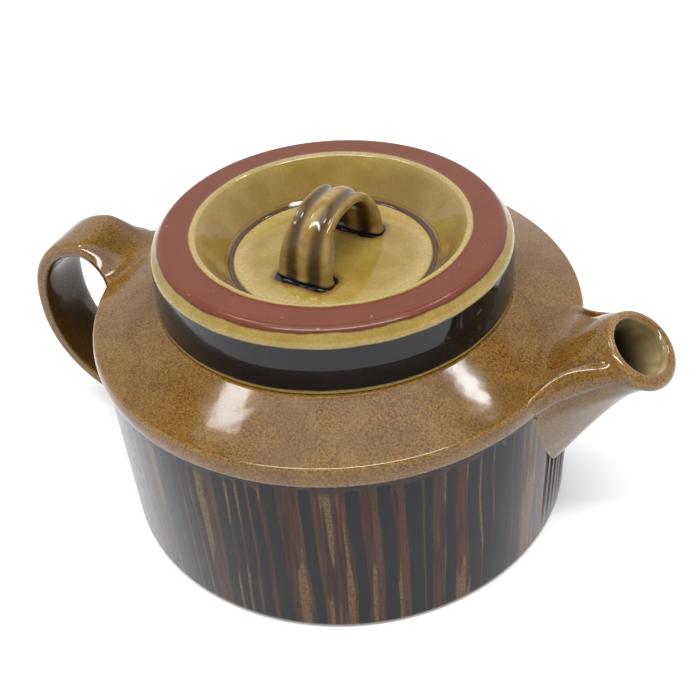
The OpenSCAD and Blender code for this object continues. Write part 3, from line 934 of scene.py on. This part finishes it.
def wall_glaze():
    """Upright brush strokes of slate black, with red-brown streaks and ochre lines between them and
    rounded tops under the bead."""
    paint = Paint("wall_glaze", 0.3, specular=0.22)
    azimuth = paint.math("ARCTAN2", paint.y, paint.x)
    along = paint.times(azimuth, WALL_R)
    # The strokes wander and waver a little sideways on their way down
    wander = paint.noise(30.0, 1, stretch=(1, 1, 0.35), seed=2.0)
    waver = paint.noise(6.0, 2, stretch=(1, 1, 0.25), seed=9.0)
    along = paint.times_add(paint.minus(wander, 0.5), 7.0, along)
    along = paint.times_add(paint.minus(waver, 0.5), 1.3, along)

    grain = paint.noise(0.7, 3, seed=3.0, roughness=0.65)
    fibre = paint.noise(1.0, 2, stretch=(1, 1, 0.06), seed=14.0)
    streak = paint.noise(2.6, 1, stretch=(1, 1, 0.05), seed=27.0)
    ochre = paint.mix(paint.step(grain, 0.30, 0.70), (0.070, 0.038, 0.014), (0.175, 0.105, 0.042))
    red = paint.mix(paint.step(fibre, 0.3, 0.75), (0.028, 0.009, 0.008), (0.070, 0.022, 0.015))
    ground = paint.mix(paint.step(streak, 0.49, 0.55), red, ochre)
    # More of the wall is black on the handle's side than on the spout's
    open_share = paint.times_add(paint.step(azimuth, -2.4, -1.2), 0.24, 0.06)
    narrow, choice = strokes(paint, along, width=4.3, seed=3.37, least_gap=0.10, more_gap=0.55, drop=2.0)
    wide, other = strokes(paint, along, width=7.4, seed=8.11, least_gap=1.5, more_gap=1.0, drop=2.6)
    narrow = paint.times(narrow, paint.step(choice, open_share, paint.add(open_share, 0.02)))
    wide = paint.times(wide, paint.step(other, 0.66, 0.68))
    washed, shade = strokes(paint, along, width=6.3, seed=5.77, least_gap=0.2, more_gap=1.2, drop=3.0)
    washed = paint.times(washed, paint.step(shade, 0.35, 0.40))
    colour = paint.cover(ground, red, washed, 0.75)
    collar = paint.step(paint.z, WALL_H - 5, WALL_H - 1.5)
    colour = paint.cover(colour, (0.042, 0.028, 0.026), collar, 0.85)
    black = paint.mix(fibre, (0.004, 0.005, 0.006), (0.012, 0.013, 0.015))
    ink = paint.math("MAXIMUM", narrow, wide)
    colour = paint.mix(ink, colour, black)
    # Painted sheen: the wall turns pale grey towards its outline, standing in for the reflection seen at
    # grazing angles
    painted_sheen = paint.times(paint.step(paint.grazing(), 0.50, 0.95), 0.42)
    colour = paint.mix(painted_sheen, colour, (0.36, 0.36, 0.37))
    foot = paint.step(paint.z, 2.4, 1.2)
    colour = paint.cover(colour, (0.12, 0.07, 0.03), foot, 0.7)
    inside = paint.step(paint.radius(), WALL_R - 0.6, WALL_R - 1.2)
    colour = paint.mix(inside, colour, speckled_brown(paint))
    # The foot ring stands on bare clay
    on_table = paint.step(paint.z, 0.6, 0.2)
    under = paint.times(on_table, paint.step(paint.radius(), WALL_R - 1.6, WALL_R - 2.2))
    clay = paint.mix(grain, (0.30, 0.20, 0.13), (0.42, 0.30, 0.20))
    colour = paint.mix(under, colour, clay)
    return paint.finish(colour, paint.times_add(paint.noise(3.0, 2), 0.10, 0.17),
                        paint.bump(paint.add(fibre, ink), 0.05, 0.4))


def gold_colour(paint):
    """Olive-gold glaze: pale where it is thin over an edge, dark brown where it pools."""
    cloud = paint.noise(9.0, 3, seed=31.0, roughness=0.5)
    grain = paint.noise(0.8, 2, seed=7.0)
    base = paint.mix(paint.step(cloud, 0.25, 0.75), (0.282, 0.178, 0.030), (0.362, 0.248, 0.066))
    bend = paint.attribute("bend")
    base = paint.cover(base, (0.500, 0.400, 0.170), paint.step(bend, 0.02, 0.22), 0.55)
    base = paint.cover(base, (0.235, 0.140, 0.026), paint.step(grain, 0.4, 0.65), 0.35)
    pooled = paint.step(paint.times(bend, -1), 0.03, 0.22)
    return paint.cover(base, (0.075, 0.035, 0.016), pooled, 0.9)


def knob_axes(paint):
    """Place along and across the lid's arch."""
    c, s = math.cos(math.radians(KNOB_TURN)), math.sin(math.radians(KNOB_TURN))
    along = paint.times_add(paint.x, c, paint.times(paint.y, s))
    across = paint.times_add(paint.x, -s, paint.times(paint.y, c))
    return along, across


def knob_puddle(paint, edge, clear):
    """1 where glaze has run together on the well's floor round the feet of the arch: full within
    edge mm of a foot, gone beyond clear mm."""
    along, across = knob_axes(paint)
    foot_half_t, foot_half_w = 1.2, 6.6
    from_foot = paint.math("ABSOLUTE", paint.minus(paint.math("ABSOLUTE", along), KNOB_HALF_SPAN))
    over_x = paint.math("MAXIMUM", paint.minus(from_foot, foot_half_t), 0.0)
    over_y = paint.math("MAXIMUM", paint.minus(paint.math("ABSOLUTE", across), foot_half_w), 0.0)
    reach = paint.math("SQRT", paint.add(paint.times(over_x, over_x), paint.times(over_y, over_y)))
    reach = paint.times_add(paint.noise(5.0, 2, seed=61.0), -2.4, reach)
    on_floor = paint.band(paint.z, WELL_Z - 2, WELL_Z + 2, 0.2)
    return paint.times(paint.step(reach, clear, edge), on_floor)


def lid_glaze():
    """Red-brown ring on top, gold well and outer edge, black side band with a gold line at its foot."""
    paint = Paint("lid_glaze", 0.12)
    radius = paint.radius()
    gold = gold_colour(paint)
    grain = paint.noise(0.6, 3, seed=17.0, roughness=0.7)
    cloud = paint.noise(14.0, 2, seed=23.0)
    red = paint.mix(cloud, (0.140, 0.038, 0.018), (0.180, 0.055, 0.028))
    red = paint.cover(red, (0.095, 0.024, 0.013), paint.step(grain, 0.45, 0.75), 0.35)
    red = paint.mix(paint.step(paint.noise(1.2, 0, seed=41.0), 0.84, 0.87), red, (0.30, 0.20, 0.13))
    edge = paint.times(paint.minus(paint.noise(9.0, 4, seed=2.0), 0.5), 1.1)
    ring_r = paint.add(radius, edge)
    on_top = paint.step(paint.z, SEAT_Z + 18, SEAT_Z + 18.5)
    is_red = paint.times(paint.band(ring_r, WELL_R + 0.5, LID_R - 2.9, 0.15), on_top)
    dark_line = paint.times(paint.band(ring_r, LID_R - 3.3, LID_R - 2.8, 0.25), on_top)
    height = paint.add(paint.z, paint.times(edge, 0.7))
    side = paint.step(radius, LID_R - 2.0, LID_R - 1.6)
    is_black = paint.times(side, paint.band(height, SEAT_Z + 1.5, LID_TOP - 4.9, 0.3))
    down_well = paint.step(paint.z, LID_TOP - 8, LID_TOP - 10)
    groove = paint.times(paint.band(radius, GROOVE_R - 1.0, GROOVE_R + 0.9, 0.5), down_well)
    patches = paint.step(paint.noise(17.0, 2, stretch=(1, 1, 0.3), seed=53.0), 0.25, 0.65)
    wash = paint.times(paint.band(radius, GROOVE_R, WELL_R - 2.5, 1.5), patches)
    colour = paint.cover(gold, (0.200, 0.110, 0.022), wash, 0.55)
    colour = paint.cover(colour, (0.060, 0.030, 0.024), groove, 0.75)
    colour = paint.mix(is_black, colour, (0.006, 0.006, 0.007))
    colour = paint.mix(is_red, colour, red)
    colour = paint.cover(colour, (0.085, 0.022, 0.015), dark_line, 0.6)
    # A brown halo round the black line at the arch's feet
    colour = paint.cover(colour, (0.130, 0.060, 0.013), knob_puddle(paint, edge=2.3, clear=5.2), 0.75)
    colour = paint.mix(knob_puddle(paint, edge=2.2, clear=2.7), colour, (0.010, 0.008, 0.010))
    below = paint.step(paint.z, SEAT_Z + 0.3, SEAT_Z - 0.2)
    colour = paint.mix(below, colour, speckled_brown(paint))
    roughness = paint.times_add(is_red, 0.12, 0.08)
    dull = paint.times_add(is_red, -0.25, paint.times(is_black, -0.17))
    paint.set("Specular IOR Level", paint.add(dull, 0.55))
    bump = paint.add(paint.times(is_red, paint.times(grain, 0.25)), paint.noise(6.0, 1, seed=4.0))
    return paint.finish(colour, roughness, paint.bump(bump, 0.12, 0.5))


def gold_glaze():
    """Gold glaze on the arch, brown in its grooves, darker towards its feet and black round them."""
    paint = Paint("gold_glaze", 0.12, specular=0.55)
    across = knob_axes(paint)[1]
    ridge_pitch = 8.2
    wave = paint.math("COSINE", paint.times(across, 2 * math.pi / ridge_pitch))
    cloud = paint.noise(4.0, 3, seed=6.0)
    hollow = paint.step(paint.times_add(cloud, 0.8, paint.times(wave, -1)), -0.7, 1.4)
    colour = paint.mix(paint.step(cloud, 0.3, 0.7), (0.270, 0.165, 0.036), (0.390, 0.275, 0.090))
    colour = paint.cover(colour, (0.070, 0.036, 0.010), hollow, 0.95)
    low = paint.step(paint.z, WELL_Z + 13, WELL_Z + 2)
    colour = paint.cover(colour, (0.026, 0.012, 0.004), paint.times(hollow, low), 0.8)
    foot = paint.step(paint.times_add(cloud, -1.2, paint.z), WELL_Z + 0.9, WELL_Z + 0.3)
    colour = paint.mix(foot, colour, (0.012, 0.010, 0.012))
    return paint.finish(colour, None, paint.bump(paint.noise(5.0, 1, seed=4.0), 0.12, 0.5))


def stainless():
    """Brushed steel, with fine lines along its height."""
    paint = Paint("stainless", 0.28)
    lines = paint.noise(0.5, 3, stretch=(1, 1, 0.04), seed=12.0)
    smear = paint.noise(12.0, 2, seed=19.0)
    paint.set("Metallic", 1.0)
    colour = paint.mix(smear, (0.50, 0.50, 0.49), (0.66, 0.66, 0.64))
    return paint.finish(colour, paint.times_add(lines, 0.25, 0.15), paint.bump(lines, 0.02, 0.4))


# ---------------------------------------------------------------- stage, light and camera

def make_stage():
    mesh = bpy.data.meshes.new("floor")
    reach = 4.0
    corners = [(-reach, -reach, 0), (reach, -reach, 0), (reach, reach, 0), (-reach, reach, 0)]
    mesh.from_pydata(corners, [], [(0, 1, 2, 3)])
    floor = bpy.data.objects.new("floor", mesh)
    bpy.context.scene.collection.objects.link(floor)
    material = bpy.data.materials.new("pale_floor")
    material.use_nodes = True
    looks = {"Base Color": (0.90, 0.90, 0.90), "Roughness": 0.9, "Specular IOR Level": 0.1,
             "Emission Color": (1, 1, 1), "Emission Strength": 0.25}
    for name, value in looks.items():
        feed(material.node_tree, value, material.node_tree.nodes["Principled BSDF"].inputs[name])
    mesh.materials.append(material)


def area_light(name, direction, distance, width, height, watts):
    """Soft light that shines at the pot from a direction."""
    light = bpy.data.lights.new(name, "AREA")
    light.shape, light.size, light.size_y = "RECTANGLE", width, height
    light.energy = watts
    made = bpy.data.objects.new(name, light)
    bpy.context.scene.collection.objects.link(made)
    away = Vector(direction).normalized()
    target = Vector((0, 0, 0.07))
    made.location = target + away * distance
    made.rotation_euler = (-away).to_track_quat("-Z", "Y").to_euler()
    made.visible_camera = False


def make_world():
    """White backdrop up to 45 degrees, a dimmer ring above it and a bright middle of the ceiling,
    all of it dimmer on the camera's side of the room. The camera itself sees white."""
    world = bpy.data.worlds.new("studio")
    bpy.context.scene.world = world
    world.use_nodes = True
    tree = world.node_tree
    way = add_node(tree, "TexCoord", {}).outputs["Generated"]
    height = add_node(tree, "SeparateXYZ", {0: way}).outputs["Z"]
    backdrop, ring, middle, behind_camera = 0.80, 0.26, 3.4, 0.45

    def ramp(sine, low, high, below, above):
        """Brightness that goes from below at the angle low to above at the angle high."""
        inputs = {"Value": sine, "From Min": math.sin(math.radians(low)),
                  "From Max": math.sin(math.radians(high)), "To Min": below, "To Max": above}
        return add_node(tree, "MapRange", inputs, interpolation_type="SMOOTHSTEP").outputs["Result"]

    def join(operation, a, b):
        return add_node(tree, "Math", {0: a, 1: b}, operation=operation).outputs[0]

    to_camera = tuple(Vector(CAMERA_AT).normalized())
    front = add_node(tree, "VectorMath", {0: way, 1: to_camera}, operation="DOT_PRODUCT").outputs["Value"]
    sky = join("ADD", ramp(height, 44, 47, backdrop, ring), ramp(height, 60, 76, 0, middle - ring))
    sky = join("MULTIPLY", sky, ramp(front, -10, 60, 1.0, behind_camera))
    seen = add_node(tree, "LightPath", {}).outputs["Is Camera Ray"]
    colours = {"Factor": seen, "A": (0.95, 0.985, 1.05), "B": (1, 1, 1)}
    tint = add_node(tree, "Mix", colours, data_type="RGBA").outputs["Result"]
    feed(tree, join("MAXIMUM", sky, seen), tree.nodes["Background"].inputs["Strength"])
    feed(tree, tint, tree.nodes["Background"].inputs["Color"])


def make_light():
    make_world()
    area_light("window_left", (-0.46, 0.04, 0.88), distance=1.3, width=0.26, height=0.16, watts=2.0)
    area_light("window_right", (0.27, 0.42, 0.86), distance=1.3, width=0.30, height=0.08, watts=1.8)
    area_light("overhead", (0.14, -0.30, 1.0), distance=1.2, width=1.20, height=0.15, watts=12.2)
    bpy.context.scene.view_settings.view_transform = "Standard"


def make_camera():
    data = bpy.data.cameras.new("camera")
    data.lens, data.sensor_width = CAMERA_LENS, 36
    data.clip_start = 0.01
    camera = bpy.data.objects.new("camera", data)
    bpy.context.scene.collection.objects.link(camera)
    at, target = Vector(CAMERA_AT), Vector(CAMERA_TARGET)
    ahead = (target - at).normalized()
    right = ahead.cross(Vector((0, 0, 1))).normalized()
    up = right.cross(ahead)
    c, s = math.cos(math.radians(CAMERA_ROLL)), math.sin(math.radians(CAMERA_ROLL))
    x, y = right * c + up * s, up * c - right * s
    camera.matrix_world = Matrix.Translation(at) @ Matrix((x, y, -ahead)).transposed().to_4x4()
    bpy.context.scene.camera = camera


# ---------------------------------------------------------------- the whole

brown, wall, lid = brown_glaze(), wall_glaze(), lid_glaze()
gold, steel = gold_glaze(), stainless()
make_wall(wall)
make_shoulder(brown)
make_spout(brown)
make_handle(brown)
make_lid(lid)
make_knob(gold)
make_basket_wall(steel)
make_basket_floor(steel)
make_basket_rim(steel)
make_basket_tabs(steel)
make_stage()
make_light()
make_camera()
